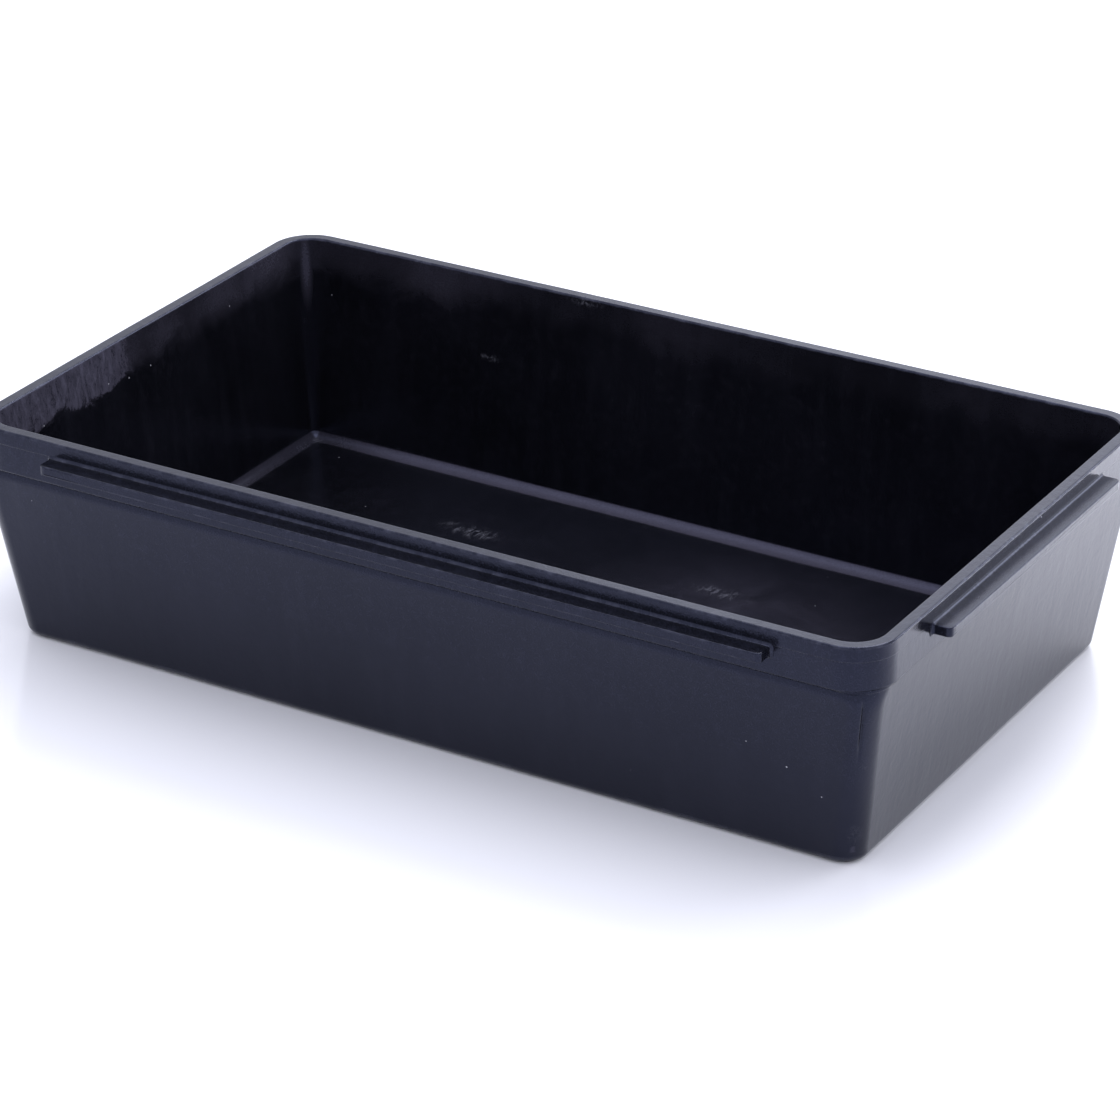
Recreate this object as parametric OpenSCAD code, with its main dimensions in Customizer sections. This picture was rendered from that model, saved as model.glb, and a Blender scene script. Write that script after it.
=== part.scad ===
// Rectangular mortar mixing tub. The real tub is one thick moulding; it is drawn here as its
// named regions (floor, walls, corners, ledges), which meet face to face.
// Millimetres, +Z up, +X along the length. The origin is on the ground under the centre.

/* [Overall size] */
// Length over the rim, along X
rim_length = 720; // [480:10:960]
// Width over the rim, along Y
rim_width = 424; // [300:2:600]
// Height from the ground to the rim's top face
tub_height = 171; // [110:1:240]
// Outer radius of the rim's four corners, seen from above
corner_radius = 33; // [24:0.5:44]
// Outer radius of the four corners below the rim's collar, the same from top to foot
wall_corner_radius = 18; // [12:0.5:28]

/* [Rim collar] */
// Thickness of the rim's flat top face
rim_thickness = 10; // [6:0.5:14]
// Height of the thicker collar band below the rim's top face
collar_height = 33.4; // [20:0.2:45]
// How far the wall steps in below the collar
collar_step = 2.2; // [1:0.1:4]
// Radius on the rim's top edges
rim_edge_radius = 1.6; // [0.5:0.1:3]

/* [Walls and floor] */
// How far the outer face's foot stands in from the collar, which sets its draft
outer_foot_inset = 21.3; // [14:0.1:26]
// How far the inner face's foot stands in from the collar, which sets the wall's thickness
inner_foot_inset = 27; // [20:0.1:29]
// Thickness of the floor
floor_thickness = 10; // [6:0.5:14]
// Radius between the outer faces and the underside
foot_radius = 7; // [3:0.5:9]
// Radius between the inner faces and the floor
inner_radius = 6; // [3:0.5:6.5]

/* [Ledges] */
// Distance from the rim's top face down to each ledge's flat top
ledge_drop = 11.6; // [8:0.2:18]
// Thickness of each ledge
ledge_thickness = 7; // [5:0.1:12]
// How far each ledge reaches out from the collar
ledge_reach = 14; // [8:0.5:18]
// Distance from each end of the long sides' ledges to the rim's outer corner
long_ledge_setback = 75; // [50:1:140]
// Distance from each end of the short sides' ledges to the rim's outer corner
short_ledge_setback = 80; // [50:1:140]
// Radius on the ledges' two long outer edges
ledge_edge_radius = 1; // [0.5:0.1:2.5]
// Radius on each ledge's two outer corners, seen from above
ledge_end_radius = 4; // [1:0.5:8]

/* [Hidden] */

$fn = 96;
black_rubber = [0.11, 0.11, 0.13];

half_length = rim_length / 2;
half_width = rim_width / 2;
collar_bottom = tub_height - collar_height;

// Each corner region is a square of this side, wide enough for every corner radius at the foot
corner_span = max(outer_foot_inset + wall_corner_radius, corner_radius) + 2;
straight_length = rim_length - 2 * corner_span;
straight_width = rim_width - 2 * corner_span;

// How far the outer and inner faces move out for each millimetre of height
outer_slope = (outer_foot_inset - collar_step) / collar_bottom;
inner_slope = (inner_foot_inset - rim_thickness) / (tub_height - rim_edge_radius - floor_thickness);

// Places of the faces at the foot, and centres of the corner turns, out from a region's inner edge
outer_foot = corner_span - outer_foot_inset;
inner_foot = corner_span - inner_foot_inset;
rim_turn = corner_span - corner_radius;
outer_turn = outer_foot - wall_corner_radius;

// Radius between the inner faces and the floor: its centre, and where it meets the inner face
inner_lean = atan(inner_slope);
hollow_centre = [inner_foot + inner_radius * (tan(inner_lean) - 1 / cos(inner_lean)),
                 floor_thickness + inner_radius];
hollow_tangent = hollow_centre + inner_radius * [cos(inner_lean), -sin(inner_lean)];

// Outlines start this far behind a region's inner edge, so that leaning leaves no gap there
behind = 40;
// How far a cut runs past the face that it opens
overcut = 1;

// Outline of the collar band: first coordinate is the distance out, second is the height
module collar_outline() {
    polygon([
        [-behind, collar_bottom],
        [corner_span - collar_step, collar_bottom],
        [corner_span, collar_bottom + collar_step],
        [corner_span, tub_height - rim_edge_radius],
        [corner_span - rim_edge_radius, tub_height],
        [-behind, tub_height]
    ]);
    translate([corner_span - rim_edge_radius, tub_height - rim_edge_radius])
        circle(r = rim_edge_radius);
}

// Outline of the body below the collar, upright before it is leaned
module body_outline() {
    polygon([[-behind, 0], [outer_foot - foot_radius, 0], [outer_foot, foot_radius],
             [outer_foot, collar_bottom], [-behind, collar_bottom]]);
    translate([outer_foot - foot_radius, foot_radius]) circle(r = foot_radius);
}

// Outline of the hollow, which narrows towards the floor
module hollow_outline() {
    mouth = tub_height + overcut;
    polygon([[-behind, floor_thickness], [hollow_centre[0], floor_thickness], hollow_tangent,
             [inner_foot + inner_slope * (mouth - floor_thickness), mouth], [-behind, mouth]]);
    translate(hollow_centre) circle(r = inner_radius);
}

// Outline of what the rounding takes off the rim's inner edge
module mouth_outline() {
    edge = corner_span - rim_thickness + rim_edge_radius;
    difference() {
        translate([-behind, tub_height - rim_edge_radius])
            square([behind + edge, rim_edge_radius + overcut]);
        translate([edge, tub_height - rim_edge_radius]) circle(r = rim_edge_radius);
    }
}

// Leans a solid out along X and Y by the given slopes, keeping its foot in place
module lean(slope_x, slope_y) {
    multmatrix([[1, 0, slope_x, 0], [0, 1, slope_y, 0], [0, 0, 1, 0]]) children();
}

// Runs an outline along Y, centred
module along(run) {
    rotate([90, 0, 0]) linear_extrude(height = run, center = true) children();
}

// Runs an outline round the corner at +X, +Y, turning about a centre
module around(centre) {
    translate([centre, centre, 0])
        rotate_extrude(angle = 90)
            intersection() {
                translate([-centre, 0]) children();
                square([corner_span, tub_height + overcut]);
            }
    for (flip = [0, 1])
        mirror([flip, -flip, 0])
            translate([0, (centre - behind) / 2, 0]) along(centre + behind) children();
}

// A straight run of wall for the side at +X, from its region's inner edge outwards
module wall(run) {
    color(black_rubber)
        intersection() {
            translate([0, -run / 2, 0]) cube([corner_span, run, tub_height]);
            difference() {
                union() {
                    along(run) collar_outline();
                    lean(outer_slope, 0) along(run) body_outline();
                }
                along(run + 2 * overcut) hollow_outline();
                along(run + 2 * overcut) mouth_outline();
            }
        }
}

// The corner at +X, +Y, from its region's inner edges outwards
module corner() {
    color(black_rubber)
        intersection() {
            cube([corner_span, corner_span, tub_height]);
            difference() {
                union() {
                    around(rim_turn) collar_outline();
                    lean(outer_slope, outer_slope) around(outer_turn) body_outline();
                }
                around(rim_turn) hollow_outline();
                around(rim_turn) mouth_outline();
            }
        }
}

// Section through a ledge: first coordinate is the reach out from the collar's face
module ledge_section() {
    nose = ledge_reach - ledge_edge_radius;
    low = tub_height - ledge_drop - ledge_thickness;
    high = tub_height - ledge_drop;
    translate([0, low]) square([nose, ledge_thickness]);
    translate([0, low + ledge_edge_radius])
        square([ledge_reach, ledge_thickness - 2 * ledge_edge_radius]);
    for (level = [low + ledge_edge_radius, high - ledge_edge_radius])
        translate([nose, level]) circle(r = ledge_edge_radius);
}

// Outline of a ledge from above, centred on the wall, with its two outer corners rounded
module ledge_outline(run) {
    straight_end = ledge_reach - ledge_end_radius;
    translate([-run / 2, 0]) square([run, straight_end]);
    translate([-run / 2 + ledge_end_radius, 0]) square([run - 2 * ledge_end_radius, ledge_reach]);
    for (side = [-1, 1])
        translate([side * (run / 2 - ledge_end_radius), straight_end]) circle(r = ledge_end_radius);
}

// A ledge standing out towards -Y from a collar face at Y = 0
module ledge(run) {
    color(black_rubber)
        intersection() {
            translate([-run / 2, 0, 0])
                rotate([90, 0, 90])
                    linear_extrude(height = run) mirror([1, 0]) ledge_section();
            translate([0, 0, tub_height - ledge_drop - ledge_thickness])
                linear_extrude(height = ledge_thickness) mirror([0, 1]) ledge_outline(run);
        }
}

module floor_plate() {
    color(black_rubber)
        translate([-straight_length / 2, -straight_width / 2, 0])
            cube([straight_length, straight_width, floor_thickness]);
}

module wall_right() { translate([half_length - corner_span, 0, 0]) wall(straight_width); }
module wall_left() { rotate([0, 0, 180]) wall_right(); }
module wall_back() {
    rotate([0, 0, 90]) translate([half_width - corner_span, 0, 0]) wall(straight_length);
}
module wall_front() { rotate([0, 0, 180]) wall_back(); }

module corner_at(turn) {
    side_x = (turn == 0 || turn == 270) ? 1 : -1;
    side_y = (turn == 0 || turn == 90) ? 1 : -1;
    translate([side_x * straight_length / 2, side_y * straight_width / 2, 0])
        rotate([0, 0, turn]) corner();
}

module ledge_front() { translate([0, -half_width, 0]) ledge(rim_length - 2 * long_ledge_setback); }
module ledge_back() { rotate([0, 0, 180]) ledge_front(); }
module ledge_right() {
    translate([half_length, 0, 0])
        rotate([0, 0, 90]) ledge(rim_width - 2 * short_ledge_setback);
}
module ledge_left() { rotate([0, 0, 180]) ledge_right(); }

floor_plate();  // floor
wall_front();
wall_back();
wall_left();
wall_right();
corner_at(180);  // corner_front_left
corner_at(270);  // corner_front_right
corner_at(90);  // corner_back_left
corner_at(0);  // corner_back_right
ledge_front();
ledge_back();
ledge_left();
ledge_right();
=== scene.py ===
"""Looks of the mortar mixing tub: one black rubber moulding, shown as the regions that the CAD names.

The whole skin is built once, so its shading runs on from region to region, and is then cut into
one closed piece per CAD node. Everything is in metres, in the CAD's frame.
"""

import math

import bpy
from mathutils import Matrix, Vector, noise


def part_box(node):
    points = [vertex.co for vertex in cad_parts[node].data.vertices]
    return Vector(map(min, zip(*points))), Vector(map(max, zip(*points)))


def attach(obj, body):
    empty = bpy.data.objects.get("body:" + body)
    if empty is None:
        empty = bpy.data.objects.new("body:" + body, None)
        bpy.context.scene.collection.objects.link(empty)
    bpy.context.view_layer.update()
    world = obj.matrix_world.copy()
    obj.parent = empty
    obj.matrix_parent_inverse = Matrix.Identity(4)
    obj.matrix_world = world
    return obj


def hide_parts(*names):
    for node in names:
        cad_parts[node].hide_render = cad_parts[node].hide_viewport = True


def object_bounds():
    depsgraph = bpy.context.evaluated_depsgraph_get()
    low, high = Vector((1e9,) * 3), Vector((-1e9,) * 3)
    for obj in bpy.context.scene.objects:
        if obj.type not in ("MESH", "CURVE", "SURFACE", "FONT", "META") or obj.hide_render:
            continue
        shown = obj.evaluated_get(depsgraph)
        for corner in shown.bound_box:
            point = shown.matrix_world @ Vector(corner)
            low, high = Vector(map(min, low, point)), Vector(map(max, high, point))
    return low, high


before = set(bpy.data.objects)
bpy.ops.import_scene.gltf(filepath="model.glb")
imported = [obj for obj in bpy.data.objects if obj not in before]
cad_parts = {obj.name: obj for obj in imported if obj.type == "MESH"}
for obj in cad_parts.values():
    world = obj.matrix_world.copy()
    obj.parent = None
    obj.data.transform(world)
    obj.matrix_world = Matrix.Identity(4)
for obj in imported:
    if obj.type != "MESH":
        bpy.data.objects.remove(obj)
cad_low, cad_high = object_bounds()

MM = 0.001

# Sizes that the CAD frame gives
HALF_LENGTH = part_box("wall_right")[1].x
HALF_WIDTH = -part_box("wall_front")[0].y
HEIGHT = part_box("wall_front")[1].z
HALF_STRAIGHT_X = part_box("floor")[1].x
HALF_STRAIGHT_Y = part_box("floor")[1].y
FLOOR_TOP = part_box("floor")[1].z
CORNER_SPAN = HALF_LENGTH - HALF_STRAIGHT_X

# Outer corner radii seen from above. The wall keeps one radius from the foot up, and only eases out
# just under the collar, so that the collar's step fades out on each corner.
RIM_CORNER_RADIUS = 33 * MM
WALL_CORNER_RADIUS = 18 * MM
EASED_CORNER_RADIUS = 25.5 * MM
EASING_HEIGHT = 14 * MM

# Section of the wall: distances in from the collar's face, and heights
RIM_THICKNESS = 10 * MM
RIM_EDGE = 1.5 * MM
COLLAR_BOTTOM = HEIGHT - 33.4 * MM
COLLAR_STEP = 2.2 * MM
CREASE_BELOW = 0.4 * MM
CREASE_REACH = 0.25 * MM
CREASE_TOP = COLLAR_BOTTOM + 1 * MM
LIP_RISES = (1.9 * MM, 2.2 * MM, 2.7 * MM)
PARTING_HEIGHT = HEIGHT - 10.8 * MM
PARTING_STEP = 0.35 * MM
PARTING_PROFILE = ((PARTING_STEP, -0.35 * MM), (PARTING_STEP + 0.12 * MM, 0),
                   (0.05 * MM, 0.12 * MM), (0, 0.5 * MM))
UPPER_BAND_DRAFT = 0.3 * MM
FOOT_INSET_OUTSIDE = 21.3 * MM
FOOT_INSET_INSIDE = 27 * MM
FOOT_RADIUS = 7 * MM
HOLLOW_HEIGHT = 7 * MM
HOLLOW_REACH = 13.5 * MM
SUPPORT = 0.5 * MM

# How rubbed each edge is, from 0 to 1; the ledge's root takes a painted highlight the same way
FOOT_WEAR = 0.55
LIP_WEAR = 0.1
PARTING_WEAR = 0.3
RIM_WEAR = 1.0
HOLLOW_WEAR = 0.1
# The ledge's root is no rubbed edge: this value paints a highlight along its hollow
LEDGE_ROOT_HIGHLIGHT = 1.0
LEDGE_NOSE_WEAR = 0.8

# Ledge
LEDGE_ROOT_FILLET = 2.2 * MM
LEDGE_NOSE_EDGE = 0.9 * MM
LEDGE_END_RADIUS = 1.0 * MM
LEDGE_PLAN_RADIUS = 4 * MM
LEDGE_SINK = 0.4 * MM

# Upright groove on the front right corner: its place in degrees round from the right side, its size,
# and the share of the corner's turn, to each side of it, that has close stations
GROOVE_TURN = 54
GROOVE_DEPTH = 1.3 * MM
GROOVE_WIDTH = 1.1 * MM
GROOVE_TOP = COLLAR_BOTTOM - 2 * MM
GROOVE_TOP_FADE = 3 * MM
GROOVE_BOTTOM = 86 * MM
GROOVE_BOTTOM_FADE = 12 * MM
GROOVE_SHARE = 0.1
SKIN_DEPTH = 4 * MM

# Notch along the foot of the front's collar, and where it fades out on the corners
NOTCH_DEPTH = 1.0 * MM
NOTCH_HALF_HEIGHT = 0.45 * MM
NOTCH_END = 9 * MM
NOTCH_FADE = 4 * MM

# How the walls wander: changes per metre, and size in millimetres
SLOW_SCALE, SLOW_WANDER = 7.0, 0.45
QUICK_SCALE, QUICK_WANDER = 23.0, 0.12
QUICK_OFFSET = Vector((3.1, 1.7, 0.4))
UPWARD_SHARE = 0.35
WANDER_SEED = 1

# Size of the mesh's cells along straight runs, and steps on its bends
CELL = 7 * MM
LEDGE_CELL = 3 * MM
LEG_STEPS = 5
CORNER_STEPS = 40
GROOVE_STEPS = 24
FOOT_STEPS = 10
CREASE_STEPS = 3
LIP_STEPS = 4
RIM_STEPS = 7
HOLLOW_STEPS = 12
LEDGE_STEPS = 8
LEDGE_END_STEPS = 6
# Rows of the ledge's root hollow that take the painted highlight
LEDGE_ROOT_HIGHLIT = range(2, 7)

# Points closer than this are one point, and an outward direction this small along X or Y is square on
MERGE_DISTANCE = 0.001 * MM
SQUARE_ON = 0.001

# Colours of the rubber, of what lies on it, and of painted highlights
RUBBER_DARK = (0.0025, 0.0026, 0.0038, 1)
RUBBER_LIGHT = (0.0045, 0.0046, 0.0068, 1)
STREAK_COLOUR = (0.0070, 0.0072, 0.0105, 1)
MOTTLE_COLOUR = (0.0095, 0.0102, 0.0170, 1)
GRAIN_COLOUR = (0.0160, 0.0170, 0.0290, 1)
RUBBED_AND_HIGHLIGHT_COLOUR = (0.045, 0.046, 0.060, 1)
DUST_AND_HIGHLIGHT_COLOUR = (0.135, 0.125, 0.175, 1)
SCUFF_COLOUR = (0.20, 0.20, 0.24, 1)
SPECK_COLOUR = (0.42, 0.42, 0.46, 1)


# ---------------------------------------------------------------- section of the wall

def arc(centre, radius, start, end, steps):
    """Points on an arc, from start to end in degrees."""
    turns = [math.radians(start + (end - start) * i / steps) for i in range(steps + 1)]
    return [(centre[0] + radius * math.cos(t), centre[1] + radius * math.sin(t)) for t in turns]


def bend(start, corner, end, steps):
    """Points on a smooth bend that leaves start and reaches end along the two sides of a corner."""
    points = []
    for i in range(steps + 1):
        t = i / steps
        points.append(tuple((1 - t) ** 2 * start[k] + 2 * t * (1 - t) * corner[k] + t * t * end[k]
                            for k in (0, 1)))
    return points


def span(start, end, cell=CELL):
    """Points strictly between start and end, with a close one at each end to hold the shading."""
    length = math.dist(start, end)
    if length < 3 * SUPPORT:
        return []
    count = max(1, round(length / cell))
    places = [SUPPORT / length] + [i / count for i in range(1, count)] + [1 - SUPPORT / length]
    return [tuple(start[k] + (end[k] - start[k]) * s for k in (0, 1)) for s in places]


def outer_face(height):
    """Distance in from the collar of the drafted outer face, at a height."""
    return FOOT_INSET_OUTSIDE - (FOOT_INSET_OUTSIDE - COLLAR_STEP) * height / COLLAR_BOTTOM


def inner_face(height):
    """Distance in from the collar of the inner face, at a height."""
    rise = HEIGHT - RIM_EDGE - FLOOR_TOP
    return FOOT_INSET_INSIDE - (FOOT_INSET_INSIDE - RIM_THICKNESS) * (height - FLOOR_TOP) / rise


def wall_section():
    """The wall's outline from the underside, round over the rim, to the floor's top.

    Each entry is (distance in, height, wear, corner radius), and wear is 1 on the edges that get
    rubbed.
    """
    edge = CORNER_SPAN
    foot_lean = math.degrees(math.atan((FOOT_INSET_OUTSIDE - COLLAR_STEP) / COLLAR_BOTTOM))
    lean = math.radians(foot_lean)
    foot_in = FOOT_INSET_OUTSIDE - FOOT_RADIUS * math.tan(lean) + FOOT_RADIUS / math.cos(lean)
    foot = arc((foot_in, FOOT_RADIUS), FOOT_RADIUS, 270, 180 + foot_lean, FOOT_STEPS)

    under_collar = COLLAR_BOTTOM - CREASE_BELOW
    crease = bend((outer_face(under_collar), under_collar), (COLLAR_STEP, COLLAR_BOTTOM),
                  (COLLAR_STEP - CREASE_REACH, COLLAR_BOTTOM + CREASE_REACH), CREASE_STEPS)
    lip_start, lip_corner, lip_end = [COLLAR_BOTTOM + rise for rise in LIP_RISES]
    lip = bend((PARTING_STEP + CREASE_REACH, lip_start), (PARTING_STEP, lip_corner),
               (PARTING_STEP, lip_end), LIP_STEPS)
    parting = [(u, PARTING_HEIGHT + rise) for u, rise in PARTING_PROFILE]
    rim_out = arc((UPPER_BAND_DRAFT + RIM_EDGE, HEIGHT - RIM_EDGE), RIM_EDGE, 180, 90, RIM_STEPS)
    rim_in = arc((RIM_THICKNESS - RIM_EDGE, HEIGHT - RIM_EDGE), RIM_EDGE, 90, 0, RIM_STEPS)
    hollow_top = FLOOR_TOP + HOLLOW_HEIGHT
    hollow = bend((inner_face(hollow_top), hollow_top), (inner_face(FLOOR_TOP), FLOOR_TOP),
                  (inner_face(FLOOR_TOP) + HOLLOW_REACH, FLOOR_TOP), HOLLOW_STEPS)

    outer = [([(edge, 0)], 0), (foot, FOOT_WEAR), (crease, 0), (lip, LIP_WEAR),
             (parting, PARTING_WEAR), (rim_out, RIM_WEAR)]
    inner = [(rim_in, RIM_WEAR), (hollow, HOLLOW_WEAR), ([(edge, FLOOR_TOP)], 0)]
    outline = []
    for chains, radius_at in ((outer, outer_radius), (inner, inner_radius)):
        for chain, wear_and_highlight in chains:
            if outline:
                outline += [(*point, 0, radius_at(*point)) for point in span(outline[-1][:2], chain[0])]
            outline += [(*point, wear_and_highlight, radius_at(*point)) for point in chain]
    return outline


def outer_radius(u, z):
    """Corner radius, seen from above, of the outer skin at a distance in from the collar and a height."""
    if z > CREASE_TOP:
        return RIM_CORNER_RADIUS - u
    depth = clamp((COLLAR_BOTTOM - z) / EASING_HEIGHT, 0, 1)
    full = WALL_CORNER_RADIUS + (EASED_CORNER_RADIUS - WALL_CORNER_RADIUS) * (1 - depth) ** 2
    return max(full - (u - outer_face(z)), 0)


def inner_radius(u, z):
    """Corner radius, seen from above, of the rim's top and of the inner skin, which narrows downwards."""
    return max(RIM_CORNER_RADIUS - u, 0)


# ---------------------------------------------------------------- stations round the tub

def places(low, high, cell=CELL):
    """Evenly spaced places from low to high."""
    count = max(1, round((high - low) / cell))
    return [low + (high - low) * i / count for i in range(count + 1)]


def corner_stations(side_x, side_y, start):
    """Stations round one corner: (the corner's signs, angle turned to, share of the leg run)."""
    legs = [i / LEG_STEPS for i in range(LEG_STEPS)]
    shares = {i / CORNER_STEPS for i in range(CORNER_STEPS + 1)}
    if side_x > 0 > side_y:
        # Closer stations where the groove runs
        middle = 1 - GROOVE_TURN / 90
        shares |= {middle + GROOVE_SHARE * (2 * i / GROOVE_STEPS - 1) for i in range(GROOVE_STEPS + 1)}
    turns = [start + 90 * share for share in sorted(shares)]
    return ([((side_x, side_y), start, leg) for leg in legs]
            + [((side_x, side_y), turn, 1) for turn in turns]
            + [((side_x, side_y), start + 90, leg) for leg in legs[::-1]])


def corner_point(signs, turn, leg, u, radius):
    """Where a station of a corner puts a point of the section: along a straight leg, or on the turn."""
    centre = (HALF_LENGTH - u - radius, HALF_WIDTH - u - radius)
    edge = (HALF_STRAIGHT_X, HALF_STRAIGHT_Y)
    angle = math.radians(turn)
    outward = (math.cos(angle), math.sin(angle))
    place = []
    for k in (0, 1):
        run = edge[k] + (centre[k] - edge[k]) * (leg if abs(outward[k]) < SQUARE_ON else 1)
        place.append(signs[k] * run + outward[k] * radius)
    return place


def ring():
    """Each region's stations, anticlockwise seen from above: (point on the floor's edge, outward)."""
    xs = places(-HALF_STRAIGHT_X, HALF_STRAIGHT_X)
    ys = places(-HALF_STRAIGHT_Y, HALF_STRAIGHT_Y)
    return {
        "wall_front": [((x, -HALF_STRAIGHT_Y), (0, -1)) for x in xs],
        "corner_front_right": corner_stations(1, -1, 270),
        "wall_right": [((HALF_STRAIGHT_X, y), (1, 0)) for y in ys],
        "corner_back_right": corner_stations(1, 1, 0),
        "wall_back": [((x, HALF_STRAIGHT_Y), (0, 1)) for x in reversed(xs)],
        "corner_back_left": corner_stations(-1, 1, 90),
        "wall_left": [((-HALF_STRAIGHT_X, y), (-1, 0)) for y in reversed(ys)],
        "corner_front_left": corner_stations(-1, -1, 180),
    }


# ---------------------------------------------------------------- the moulding's slight unevenness

def clamp(value, low, high):
    return max(low, min(high, value))


# Unseeded, noise vectors follow the clock and differ from run to run
noise.seed_set(WANDER_SEED)


def uneven(point):
    """Where a point of the ideal shape lies on the real moulding: walls wander by a few tenths."""
    slow = noise.noise_vector(point * SLOW_SCALE) * SLOW_WANDER * MM
    quick = noise.noise_vector(point * QUICK_SCALE + QUICK_OFFSET) * QUICK_WANDER * MM
    move = slow + quick
    move.z *= UPWARD_SHARE
    moved = point + move
    return Vector(clamp(moved[k], cad_low[k], cad_high[k]) for k in range(3))


def grooves(point):
    """Depth of the mould marks at a point: a narrow upright groove on the front right corner, and a
    notch along the foot of the front's collar."""
    front = -point.y - HALF_WIDTH
    notch = 0
    if abs(point.z - COLLAR_BOTTOM) < NOTCH_HALF_HEIGHT:
        notch = NOTCH_DEPTH * clamp((front + NOTCH_END) / NOTCH_FADE, 0, 1)
    inset = outer_face(point.z) + WALL_CORNER_RADIUS
    out_x, out_y = point.x - HALF_LENGTH + inset, front + inset
    if min(out_x, out_y) <= 0 or math.hypot(out_x, out_y) < WALL_CORNER_RADIUS - SKIN_DEPTH:
        return notch
    along = (math.atan2(out_y, out_x) - math.radians(GROOVE_TURN)) * WALL_CORNER_RADIUS
    fade = (clamp((GROOVE_TOP - point.z) / GROOVE_TOP_FADE, 0, 1)
            * clamp((point.z - GROOVE_BOTTOM) / GROOVE_BOTTOM_FADE, 0, 1))
    return notch + GROOVE_DEPTH * fade * math.exp(-((along / GROOVE_WIDTH) ** 2))


# ---------------------------------------------------------------- skin and pieces

class Skin:
    """Points shared by all the regions, so that a region's edge matches its neighbour's."""

    def __init__(self):
        self.points = []
        self.wear_and_highlight = []
        self.index = {}
        self.skin = {}
        self.caps = {}

    def point(self, co, wear_and_highlight=0.0):
        key = tuple(round(c / MERGE_DISTANCE) for c in co)
        if key not in self.index:
            self.index[key] = len(self.points)
            self.points.append(Vector(co))
            self.wear_and_highlight.append(wear_and_highlight)
        return self.index[key]

    def face(self, region, corners, cap=False):
        """Adds a face, dropping corners that fall on each other."""
        kept = [c for i, c in enumerate(corners) if c != corners[i - 1]]
        if len(kept) > 2:
            (self.caps if cap else self.skin).setdefault(region, []).append(kept)

    def settle(self):
        """Moves the points to the real moulding's shape and finds the skin's own normals."""
        self.normals = self.find_normals()
        self.points = [uneven(p - n * grooves(p)) for p, n in zip(self.points, self.normals)]
        self.normals = self.find_normals()

    def find_normals(self):
        whole = bpy.data.meshes.new("whole")
        whole.from_pydata(self.points, [], [f for faces in self.skin.values() for f in faces])
        whole.shade_smooth()
        normals = [v.vector.copy() for v in whole.vertex_normals]
        bpy.data.meshes.remove(whole)
        return normals

    def piece(self, region, name):
        """One closed region as an object: its skin keeps the whole skin's shading, its caps are flat."""
        skin, caps = self.skin[region], self.caps[region]
        used = sorted({i for face in skin + caps for i in face})
        local = {i: n for n, i in enumerate(used)}
        mesh = bpy.data.meshes.new(name)
        mesh.from_pydata([self.points[i] for i in used], [], [[local[i] for i in f] for f in skin + caps])
        mesh.shade_smooth()
        normals = [self.normals[i] for face in skin for i in face]
        for polygon in mesh.polygons[len(skin):]:
            normals += [polygon.normal.copy()] * polygon.loop_total
        mesh.normals_split_custom_set(normals)
        store_wear_and_highlight(mesh, [self.wear_and_highlight[i] for i in used])
        return add_piece(name, mesh, region)


# Per point: how rubbed an edge is, and on the ledges' root hollows a painted highlight
def store_wear_and_highlight(mesh, values):
    mesh.attributes.new("wear_and_highlight", "FLOAT", "POINT").data.foreach_set("value", values)


def add_piece(name, mesh, node):
    """Puts a mesh in the scene as the piece that stands for a CAD node."""
    piece = bpy.data.objects.new(name, mesh)
    bpy.context.scene.collection.objects.link(piece)
    mesh.materials.append(rubber)
    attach(piece, "root")
    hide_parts(node)
    return piece


def add_walls(skin):
    """Sweeps the wall's section round the ring, and closes each region where it meets the next."""
    section = wall_section()
    for region, stations in ring().items():
        rows = []
        for station in stations:
            row = []
            for u, z, wear_and_highlight, radius in section:
                if len(station) == 3:
                    x, y = corner_point(*station, u, radius)
                else:
                    (x, y), outward = station
                    x, y = x + outward[0] * (CORNER_SPAN - u), y + outward[1] * (CORNER_SPAN - u)
                row.append(skin.point((x, y, z), wear_and_highlight))
            rows.append(row)
        for near, far in zip(rows, rows[1:]):
            for i in range(len(section) - 1):
                skin.face(region, [near[i], far[i], far[i + 1], near[i + 1]])
            skin.face(region, [near[-1], far[-1], far[0], near[0]], cap=True)
        skin.face(region, rows[0], cap=True)
        skin.face(region, rows[-1][::-1], cap=True)


def add_floor(skin):
    """The floor's slab: its top and underside join the walls' skin."""
    xs = places(-HALF_STRAIGHT_X, HALF_STRAIGHT_X)
    ys = places(-HALF_STRAIGHT_Y, HALF_STRAIGHT_Y)
    levels = {z: [[skin.point((x, y, z)) for x in xs] for y in ys] for z in (0, FLOOR_TOP)}
    for low, high in zip(range(len(ys) - 1), range(1, len(ys))):
        for left, right in zip(range(len(xs) - 1), range(1, len(xs))):
            top, under = levels[FLOOR_TOP], levels[0]
            skin.face("floor", [top[low][left], top[low][right], top[high][right], top[high][left]])
            skin.face("floor", [under[low][left], under[high][left], under[high][right], under[low][right]])
    edges = {z: (rows[0] + [row[-1] for row in rows[1:]]
                 + rows[-1][-2::-1] + [row[0] for row in rows[-2:0:-1]])
             for z, rows in levels.items()}
    loop_low, loop_high = edges[0], edges[FLOOR_TOP]
    for i in range(len(loop_low)):
        skin.face("floor", [loop_low[i - 1], loop_low[i], loop_high[i], loop_high[i - 1]], cap=True)


# ---------------------------------------------------------------- ledges

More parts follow.
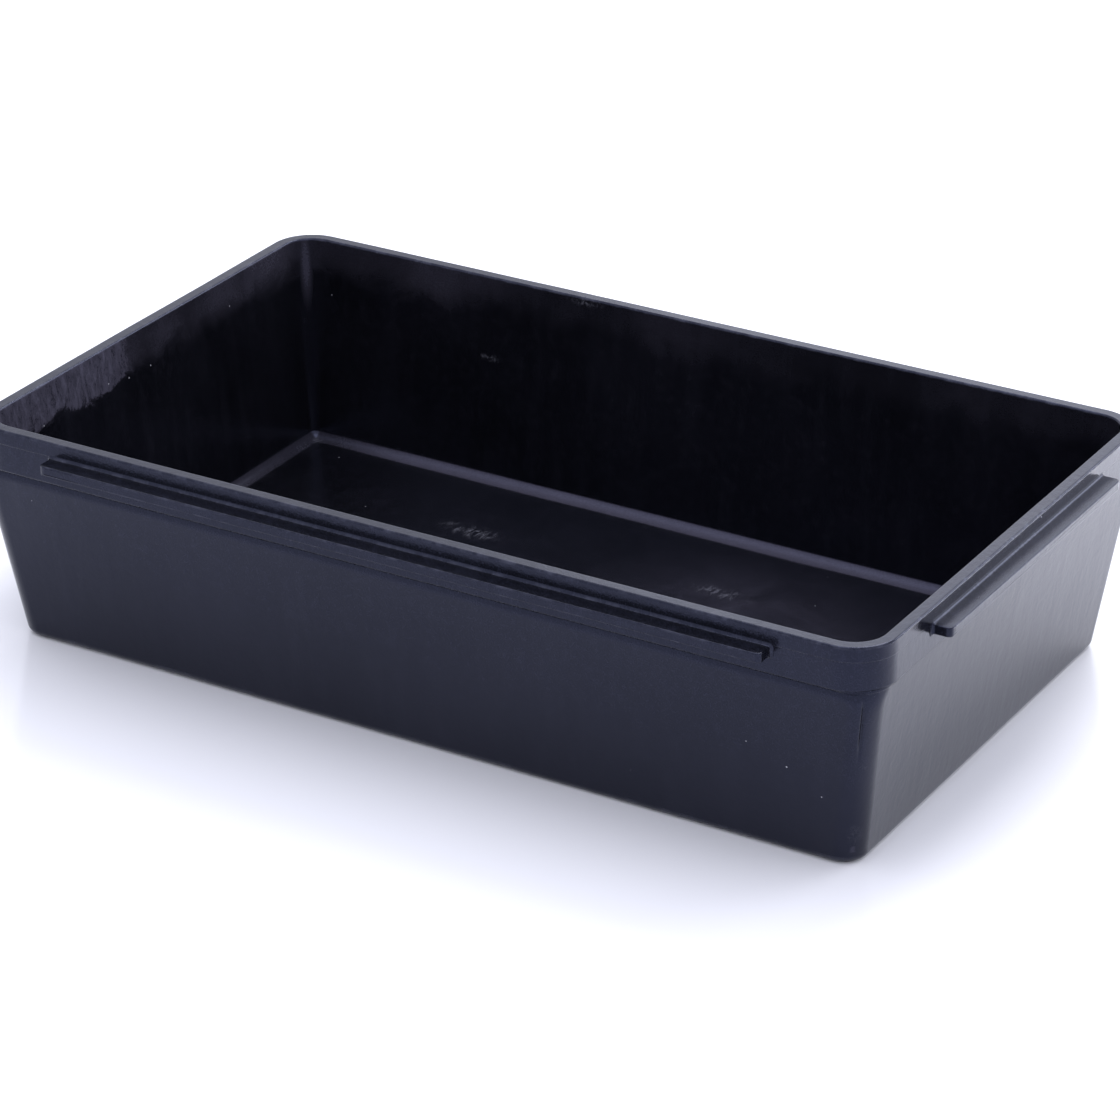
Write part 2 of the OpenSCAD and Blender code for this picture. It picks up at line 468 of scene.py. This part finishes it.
def ledge_loop(half_run, half_thick, grow, inset):
    """Points round a ledge seen from its front, grown outwards by a distance, corners rounded.

    Inset is how far both ends stand back from half_run.
    """
    radius = LEDGE_END_RADIUS + grow
    full_run, middle_thick = half_run - LEDGE_END_RADIUS, half_thick - LEDGE_END_RADIUS
    middle_run = full_run - inset
    loop = []
    for side_run, side_thick, start in ((1, 1, 0), (-1, 1, 90), (-1, -1, 180), (1, -1, 270)):
        for along, up in arc((0, 0), radius, start, start + 90, LEDGE_END_STEPS):
            loop.append((side_run * middle_run + along, side_thick * middle_thick + up))
        if side_run == side_thick:
            steps = [s * middle_run / full_run for s in places(-full_run, full_run)[1:-1]]
            loop += [(-side_run * s, side_thick * (middle_thick + radius)) for s in steps]
    return loop


def ledge_profile(reach):
    """(grow, distance out, wear) from the root's hollow to the nose's rounded edge; the wear on the root's
    hollow is a painted highlight.
    """
    root = arc((LEDGE_ROOT_FILLET, LEDGE_ROOT_FILLET), LEDGE_ROOT_FILLET, 270, 180, LEDGE_STEPS)
    edge = arc((-LEDGE_NOSE_EDGE, reach - LEDGE_NOSE_EDGE), LEDGE_NOSE_EDGE, 0, 90, LEDGE_STEPS)
    turn = math.degrees(math.asin(1 - LEDGE_NOSE_EDGE / LEDGE_PLAN_RADIUS))
    turned = arc((0, reach - LEDGE_PLAN_RADIUS), LEDGE_PLAN_RADIUS, 0, turn, LEDGE_STEPS)
    side = [(0, out) for _, out in turned]
    rows = [(LEDGE_ROOT_FILLET, -LEDGE_SINK, 0)]
    # The middle of the root's hollow gets a painted highlight, carried with the wear
    rows += [(*p, LEDGE_ROOT_HIGHLIGHT if i in LEDGE_ROOT_HIGHLIT else 0) for i, p in enumerate(root)]
    rows += [(*p, 0) for p in span(root[-1], side[0], LEDGE_CELL)]
    rows += [(*p, 0) for p in side[:-1]]
    rows += [(*p, LEDGE_NOSE_WEAR) for p in edge]
    return rows + [(-LEDGE_NOSE_EDGE - SUPPORT, reach, 0)]


def plan_inset(out, reach):
    """How far a ledge's end stands back at a distance out, where its outer corner turns in plan."""
    over = clamp(out - (reach - LEDGE_PLAN_RADIUS), 0, LEDGE_PLAN_RADIUS)
    return LEDGE_PLAN_RADIUS - math.sqrt(LEDGE_PLAN_RADIUS ** 2 - over ** 2)


def build_ledge(node, outward):
    """A ledge with a hollow all round its root, standing out from the collar along one wall."""
    low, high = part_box(node)
    centre = (low + high) / 2
    along = Vector((-outward.y, outward.x, 0))
    half_run = abs((high - low).dot(along)) / 2
    half_thick = (high.z - low.z) / 2
    reach = (high - low).dot(Vector((abs(outward.x), abs(outward.y), 0)))
    root = centre - outward * reach / 2
    points, wear_and_highlight, loops = [], [], []
    for grow, out, rub_and_highlight in ledge_profile(reach):
        loop = []
        for run, up in ledge_loop(half_run, half_thick, grow, plan_inset(out, reach)):
            loop.append(len(points))
            points.append(uneven(root + along * run + Vector((0, 0, up)) + outward * out))
            wear_and_highlight.append(rub_and_highlight)
        loops.append(loop)
    faces = []
    for back, front in zip(loops, loops[1:]):
        faces += [[back[i - 1], back[i], front[i], front[i - 1]] for i in range(len(back))]
    faces += [loops[-1], loops[0][::-1]]
    mesh = bpy.data.meshes.new(node + "_bar")
    mesh.from_pydata(points, [], faces)
    mesh.shade_smooth()
    mesh.polygons[-1].use_smooth = False
    store_wear_and_highlight(mesh, wear_and_highlight)
    return add_piece(node + "_bar", mesh, node)


# ---------------------------------------------------------------- materials

class Graph:
    """Short calls for building a shader's node tree."""

    def __init__(self, name):
        self.material = bpy.data.materials.new(name)
        self.material.use_nodes = True
        self.tree = self.material.node_tree
        self.tree.nodes.clear()

    def node(self, kind, inputs=None, **settings):
        made = self.tree.nodes.new(kind)
        for key, value in settings.items():
            setattr(made, key, value)
        for key, value in (inputs or {}).items():
            if isinstance(value, bpy.types.NodeSocket):
                self.tree.links.new(value, made.inputs[key])
            else:
                made.inputs[key].default_value = value
        return made

    def math(self, operation, *values, clamped=False):
        made = self.node("ShaderNodeMath", dict(enumerate(values)), operation=operation, use_clamp=clamped)
        return made.outputs[0]

    def noise(self, where, scale, detail=4.0, roughness=0.55, distortion=0.0):
        made = self.node("ShaderNodeTexNoise", {"Vector": where, "Scale": scale, "Detail": detail,
                                                "Roughness": roughness, "Distortion": distortion})
        return made.outputs["Fac"]

    def stretch(self, where, scale):
        made = self.node("ShaderNodeMapping", {"Vector": where, "Scale": scale})
        return made.outputs["Vector"]

    def step(self, value, low, high, to_low=0.0, to_high=1.0):
        """A smooth step: to_low below low, to_high above high."""
        made = self.node("ShaderNodeMapRange", {"Value": value, "From Min": low, "From Max": high,
                                                "To Min": to_low, "To Max": to_high},
                         interpolation_type="SMOOTHSTEP")
        return made.outputs["Result"]

    def mix(self, factor, first, second):
        made = self.node("ShaderNodeMix", {0: factor, 6: first, 7: second}, data_type="RGBA")
        return made.outputs[2]

    def bump(self, height, distance, strength=1.0, normal=None):
        inputs = {"Height": height, "Distance": distance, "Strength": strength}
        if normal is not None:
            inputs["Normal"] = normal
        return self.node("ShaderNodeBump", inputs).outputs["Normal"]

    def near(self, where, centre, size):
        """1 at a point, fading to 0 at a distance of size from it (size may differ along X, Y, Z)."""
        offset = self.node("ShaderNodeVectorMath", {0: where, 1: centre}, operation="SUBTRACT").outputs[0]
        scaled = self.node("ShaderNodeVectorMath", {0: offset, 1: size}, operation="DIVIDE").outputs[0]
        length = self.node("ShaderNodeVectorMath", {0: scaled}, operation="LENGTH").outputs["Value"]
        return self.step(length, 0.0, 1.0, 1.0, 0.0)

    def finish(self, shader):
        out = self.node("ShaderNodeOutputMaterial")
        self.tree.links.new(shader.outputs[0], out.inputs["Surface"])
        return self.material


def inside_mask(g, x, y, z):
    """1 on the faces of the hollow, 0 on the outside, split at the middle of the leaning wall."""
    rim_inset, floor_inset, blur = 9 * MM, 24 * MM, 0.7 * MM
    slope = (floor_inset - rim_inset) / (HEIGHT - FLOOR_TOP)
    middle = rim_inset + slope * HEIGHT
    lean = g.math("MULTIPLY", z, slope)
    upright_x = g.math("SUBTRACT", g.math("ABSOLUTE", x), lean)
    upright_y = g.math("SUBTRACT", g.math("ABSOLUTE", y), lean)
    inside_x = g.step(upright_x, HALF_LENGTH - middle + blur, HALF_LENGTH - middle - blur)
    inside_y = g.step(upright_y, HALF_WIDTH - middle + blur, HALF_WIDTH - middle - blur)
    inside_z = g.math("MULTIPLY", g.step(z, 8 * MM, 9.5 * MM),
                      g.step(z, HEIGHT - 0.3 * MM, HEIGHT - 1.2 * MM))
    return g.math("MULTIPLY", g.math("MULTIPLY", inside_x, inside_y), inside_z)


def dust_and_highlight_mask(g, where, x, y, z, cloud, mottle):
    """Dust on the inner faces: thick on the left wall's front end, and thinner elsewhere; also a painted
    highlight along the floor's hollow, in the dust's colour.
    """
    # A ragged patch near the rim of the left wall, combed by scratches
    left = g.step(x, -HALF_LENGTH + 30 * MM, -HALF_LENGTH + 22 * MM)
    ragged = g.noise(where, 22.0, 6.0, 0.65, 0.6)
    border = g.math("ADD", z, g.math("MULTIPLY", ragged, 0.05))
    high = g.step(border, 0.164, 0.170)
    frontward = g.step(y, -0.018, -0.045)
    scratch = g.noise(g.stretch(where, (30.0, 240.0, 90.0)), 1.0, 4.0, 0.7, 0.5)
    patch = g.math("MULTIPLY", g.math("MULTIPLY", left, high), frontward)
    patch = g.math("MULTIPLY", patch, g.step(scratch, 0.25, 0.75, 0.35, 1.0))

    # A haze under the rim, thinner away from the left end
    upper = g.math("MULTIPLY", g.step(border, 0.160, 0.185), g.step(cloud, 0.35, 0.65, 0.3, 0.8))
    upper = g.math("MULTIPLY", upper, g.step(x, -0.30, -0.12, 1.0, 0.35))

    # A film everywhere, thicker on the floor right of the middle
    film = g.step(mottle, 0.45, 0.8, 0.0, 0.05)
    settled = g.math("MULTIPLY", g.near(where, (0.12, 0.07, FLOOR_TOP), (0.19, 0.14, 0.02)),
                     g.step(ragged, 0.3, 0.7, 0.15, 0.35))
    film = g.math("MAXIMUM", film, settled)
    dust = g.math("MAXIMUM", g.math("MAXIMUM", patch, g.math("MULTIPLY", upper, 0.5)), film)

    # Painted highlight along the hollow round the floor, in the dust's colour, weaker at its two ends
    painted_hollow_highlight = g.math("MULTIPLY", g.step(z, FLOOR_TOP + 0.1 * MM, FLOOR_TOP + 0.5 * MM),
                  g.step(z, FLOOR_TOP + 6 * MM, FLOOR_TOP + 4.5 * MM))
    ends = g.step(g.math("ABSOLUTE", x), HALF_STRAIGHT_X + 12 * MM, HALF_STRAIGHT_X - 80 * MM, 0.3, 0.9)
    painted_hollow_highlight = g.math("MULTIPLY", painted_hollow_highlight, ends)

    # Up the back left corner
    crease = g.near(where, (-HALF_LENGTH + 18 * MM, HALF_WIDTH - 18 * MM, 0.150), (0.007, 0.007, 0.060))
    return g.math("MAXIMUM", g.math("MAXIMUM", dust, painted_hollow_highlight), g.math("MULTIPLY", crease, 0.6))


def scuff_mask(g, where):
    """Fibrous scuffs, each with its centre and size."""
    spots = (
        # On the floor, left and right
        ((-0.135, 0.100, FLOOR_TOP), (0.036, 0.014, 0.010)),
        ((0.078, 0.103, FLOOR_TOP), (0.034, 0.012, 0.010)),
        # On the back wall, at the rim and half way up
        ((-0.094, HALF_WIDTH - RIM_THICKNESS, 0.168), (0.020, 0.006, 0.005)),
        ((-0.176, HALF_WIDTH - 17 * MM, 0.107), (0.013, 0.005, 0.004)),
        # On the front right corner, at the foot and under the groove
        ((HALF_LENGTH - 16 * MM, -HALF_WIDTH + 18 * MM, 0.023), (0.013, 0.013, 0.016)),
        ((HALF_LENGTH - 13 * MM, -HALF_WIDTH + 10 * MM, 0.080), (0.005, 0.010, 0.004)),
        # In the hollow's back left corner
        ((-HALF_LENGTH + 35 * MM, HALF_WIDTH - 35 * MM, FLOOR_TOP + 2 * MM), (0.007, 0.007, 0.006)),
    )
    scuffs = g.near(where, *spots[0])
    for spot in spots[1:]:
        scuffs = g.math("ADD", scuffs, g.near(where, *spot))
    fibres = g.noise(g.stretch(where, (260.0, 90.0, 260.0)), 1.0, 6.0, 0.75, 0.8)
    return g.math("MULTIPLY", scuffs, g.step(fibres, 0.45, 0.72), clamped=True)


def speck_mask(g, where):
    """Pale specks and chips, more of them on the front wall's right end."""
    cells = g.node("ShaderNodeTexVoronoi", {"Vector": where, "Scale": 75.0, "Randomness": 1.0})
    chance = g.node("ShaderNodeSeparateColor", {0: cells.outputs["Color"]}).outputs[0]
    near_end = g.near(where, (0.285, -HALF_WIDTH + 8 * MM, 0.075), (0.12, 0.03, 0.075))
    chosen = g.step(g.math("ADD", chance, g.math("MULTIPLY", near_end, 0.6)), 0.93, 0.95)
    return g.math("MULTIPLY", g.step(cells.outputs["Distance"], 0.060, 0.030), chosen)


def rubber_material():
    """Black moulded rubber: satin, faintly streaked, with dust, rubbed edges and a few pale specks, painted
    highlights in the hollows and painted shade at the foot.
    """
    g = Graph("tub_rubber")
    where = g.node("ShaderNodeTexCoord").outputs["Object"]
    axes = g.node("ShaderNodeSeparateXYZ", {0: where})
    x, y, z = axes.outputs[0], axes.outputs[1], axes.outputs[2]
    wear_and_highlight = g.node("ShaderNodeAttribute", attribute_name="wear_and_highlight").outputs["Fac"]

    cloud = g.noise(where, 9.0, 5.0)
    streak = g.noise(g.stretch(where, (60.0, 60.0, 5.0)), 1.0, 5.0, 0.6)
    grain = g.noise(where, 900.0, 3.0, 0.6)
    mottle = g.noise(where, 140.0, 4.0, 0.6)

    # Rubbed edges, and a painted highlight along the ledges' root hollows
    rubbed_and_highlit = g.math("MULTIPLY", wear_and_highlight, g.step(g.noise(where, 70.0, 6.0, 0.7), 0.42, 0.68))
    inside = inside_mask(g, x, y, z)
    # Dust on the inner faces, with a painted highlight along the floor's hollow
    dust = g.math("MULTIPLY", dust_and_highlight_mask(g, where, x, y, z, cloud, mottle), inside)
    dust = g.math("MULTIPLY", dust, g.step(grain, 0.3, 0.7, 0.75, 1.25))

    base = g.mix(g.step(cloud, 0.3, 0.7), RUBBER_DARK, RUBBER_LIGHT)
    base = g.mix(g.step(streak, 0.45, 0.75, 0.0, 0.5), base, STREAK_COLOUR)
    # The finest mottling shows outside only; it fades towards the foot as painted shade, darkening the foot
    outside = g.math("MULTIPLY", g.math("SUBTRACT", 1.0, inside), g.step(z, 10 * MM, 130 * MM, 0.1, 1.0))
    mottled = g.math("MULTIPLY", g.step(mottle, 0.50, 0.75, 0.0, 0.6), outside)
    grained = g.math("MULTIPLY", g.step(grain, 0.50, 0.70, 0.0, 0.6), outside)
    base = g.mix(mottled, base, MOTTLE_COLOUR)
    base = g.mix(grained, base, GRAIN_COLOUR)
    base = g.mix(g.math("MULTIPLY", rubbed_and_highlit, 0.6), base, RUBBED_AND_HIGHLIGHT_COLOUR)
    base = g.mix(g.math("MULTIPLY", dust, 0.40), base, DUST_AND_HIGHLIGHT_COLOUR)
    base = g.mix(g.math("MULTIPLY", scuff_mask(g, where), 0.55), base, SCUFF_COLOUR)
    base = g.mix(g.math("MULTIPLY", speck_mask(g, where), 0.75), base, SPECK_COLOUR)

    rough = g.step(g.math("ADD", g.math("MULTIPLY", cloud, 0.6), g.math("MULTIPLY", streak, 0.4)),
                   0.3, 0.7, 0.10, 0.15)
    rough = g.math("ADD", rough, g.math("MULTIPLY", dust, 0.35))
    rough = g.math("ADD", rough, g.math("MULTIPLY", rubbed_and_highlit, 0.15), clamped=True)

    normal = g.bump(grain, 0.00016, 0.6)
    normal = g.bump(mottle, 0.00030, 0.5, normal)
    normal = g.bump(streak, 0.00035, 0.6, normal)

    shader = g.node("ShaderNodeBsdfPrincipled", {"Base Color": base, "Roughness": rough, "Normal": normal,
                                                 "IOR": 1.41, "Specular Tint": (0.56, 0.62, 1.0, 1)})
    return g.finish(shader)


def table_material():
    """Plain pale studio table, faintly glossy."""
    g = Graph("table")
    where = g.node("ShaderNodeTexCoord").outputs["Object"]
    soft = g.noise(where, 1.5, 3.0)
    colour = g.mix(soft, (0.82, 0.815, 0.840, 1), (0.86, 0.855, 0.875, 1))
    rough = g.step(g.noise(where, 6.0, 4.0), 0.3, 0.7, 0.14, 0.2)
    normal = g.bump(g.noise(where, 300.0, 3.0), 0.00005, 0.3)
    shader = g.node("ShaderNodeBsdfPrincipled", {"Base Color": colour, "Roughness": rough,
                                                 "Normal": normal, "IOR": 1.45})
    return g.finish(shader)


# ---------------------------------------------------------------- studio

def aim(obj, place, target, roll=0.0):
    """Puts an object at a place, looking along its -Z at a target, +Y up, then rolled."""
    forward = (Vector(target) - Vector(place)).normalized()
    side = forward.cross(Vector((0, 0, 1))).normalized()
    up = side.cross(forward)
    turned_side = side * math.cos(roll) + up * math.sin(roll)
    turned_up = up * math.cos(roll) - side * math.sin(roll)
    turn = Matrix((turned_side, turned_up, -forward)).transposed().to_4x4()
    obj.matrix_world = Matrix.Translation(place) @ turn


def add_camera():
    """A long lens, looking down at the tub's front right corner."""
    azimuth, elevation, roll = math.radians(30.84), math.radians(26.0), math.radians(-0.25)
    distance, target = 3.272, Vector((-0.0626, 0.1088, 0.0))
    data = bpy.data.cameras.new("camera")
    data.sensor_width = 36
    data.lens = 140.9
    camera = bpy.data.objects.new("camera", data)
    bpy.context.scene.collection.objects.link(camera)
    back = Vector((math.sin(azimuth) * math.cos(elevation), -math.cos(azimuth) * math.cos(elevation),
                   math.sin(elevation)))
    aim(camera, target + back * distance, target, roll)
    bpy.context.scene.camera = camera


def add_softbox(name, place, target, size, power, colour=(1.0, 1.0, 1.0), spread=180):
    """A rectangular light; its spread, in degrees, is how wide it throws."""
    data = bpy.data.lights.new(name, "AREA")
    data.shape = "RECTANGLE"
    data.size, data.size_y = size
    data.energy = power
    data.color = colour
    data.spread = math.radians(spread)
    light = bpy.data.objects.new(name, data)
    bpy.context.scene.collection.objects.link(light)
    aim(light, Vector(place), Vector(target))


def add_studio():
    """Pale table, a bright room and soft lights; the table is brightest behind the tub on the right."""
    half = 6.0
    corners = [(-half, -half, 0), (half, -half, 0), (half, half, 0), (-half, half, 0)]
    mesh = bpy.data.meshes.new("table")
    mesh.from_pydata(corners, [], [(0, 1, 2, 3)])
    mesh.materials.append(table_material())
    table = bpy.data.objects.new("table", mesh)
    bpy.context.scene.collection.objects.link(table)

    world = bpy.data.worlds.new("room")
    bpy.context.scene.world = world
    world.use_nodes = True
    background = world.node_tree.nodes["Background"]
    background.inputs["Color"].default_value = (0.87, 0.89, 1.0, 1)
    background.inputs["Strength"].default_value = 1.34

    cool = (0.88, 0.91, 1.0)
    add_softbox("overhead", (0.0, 0.1, 2.2), (0.001, 0.1, 0), (1.6, 1.2), 16, cool)
    add_softbox("high_back", (0.1, 1.4, 2.2), (0, 0, 0), (0.8, 0.8), 24)
    add_softbox("back_left", (-0.8, 2.6, 1.5), (0, 0, 0), (1.3, 1.4), 5.5, cool)
    add_softbox("back_right", (1.5, 2.2, 1.2), (0.3, 0.2, 0), (1.4, 1.4), 24, cool)
    add_softbox("table_right", (1.05, 0.55, 1.3), (1.051, 0.55, 0), (0.5, 0.5), 18.8, spread=50)
    bpy.context.scene.view_settings.view_transform = "Standard"


# ---------------------------------------------------------------- the object

rubber = rubber_material()

skin = Skin()
add_walls(skin)
add_floor(skin)
skin.settle()
for region in skin.skin:
    skin.piece(region, region + "_moulding")

for node, outward in (("ledge_front", (0, -1, 0)), ("ledge_right", (1, 0, 0)),
                      ("ledge_back", (0, 1, 0)), ("ledge_left", (-1, 0, 0))):
    build_ledge(node, Vector(outward))

add_studio()
add_camera()
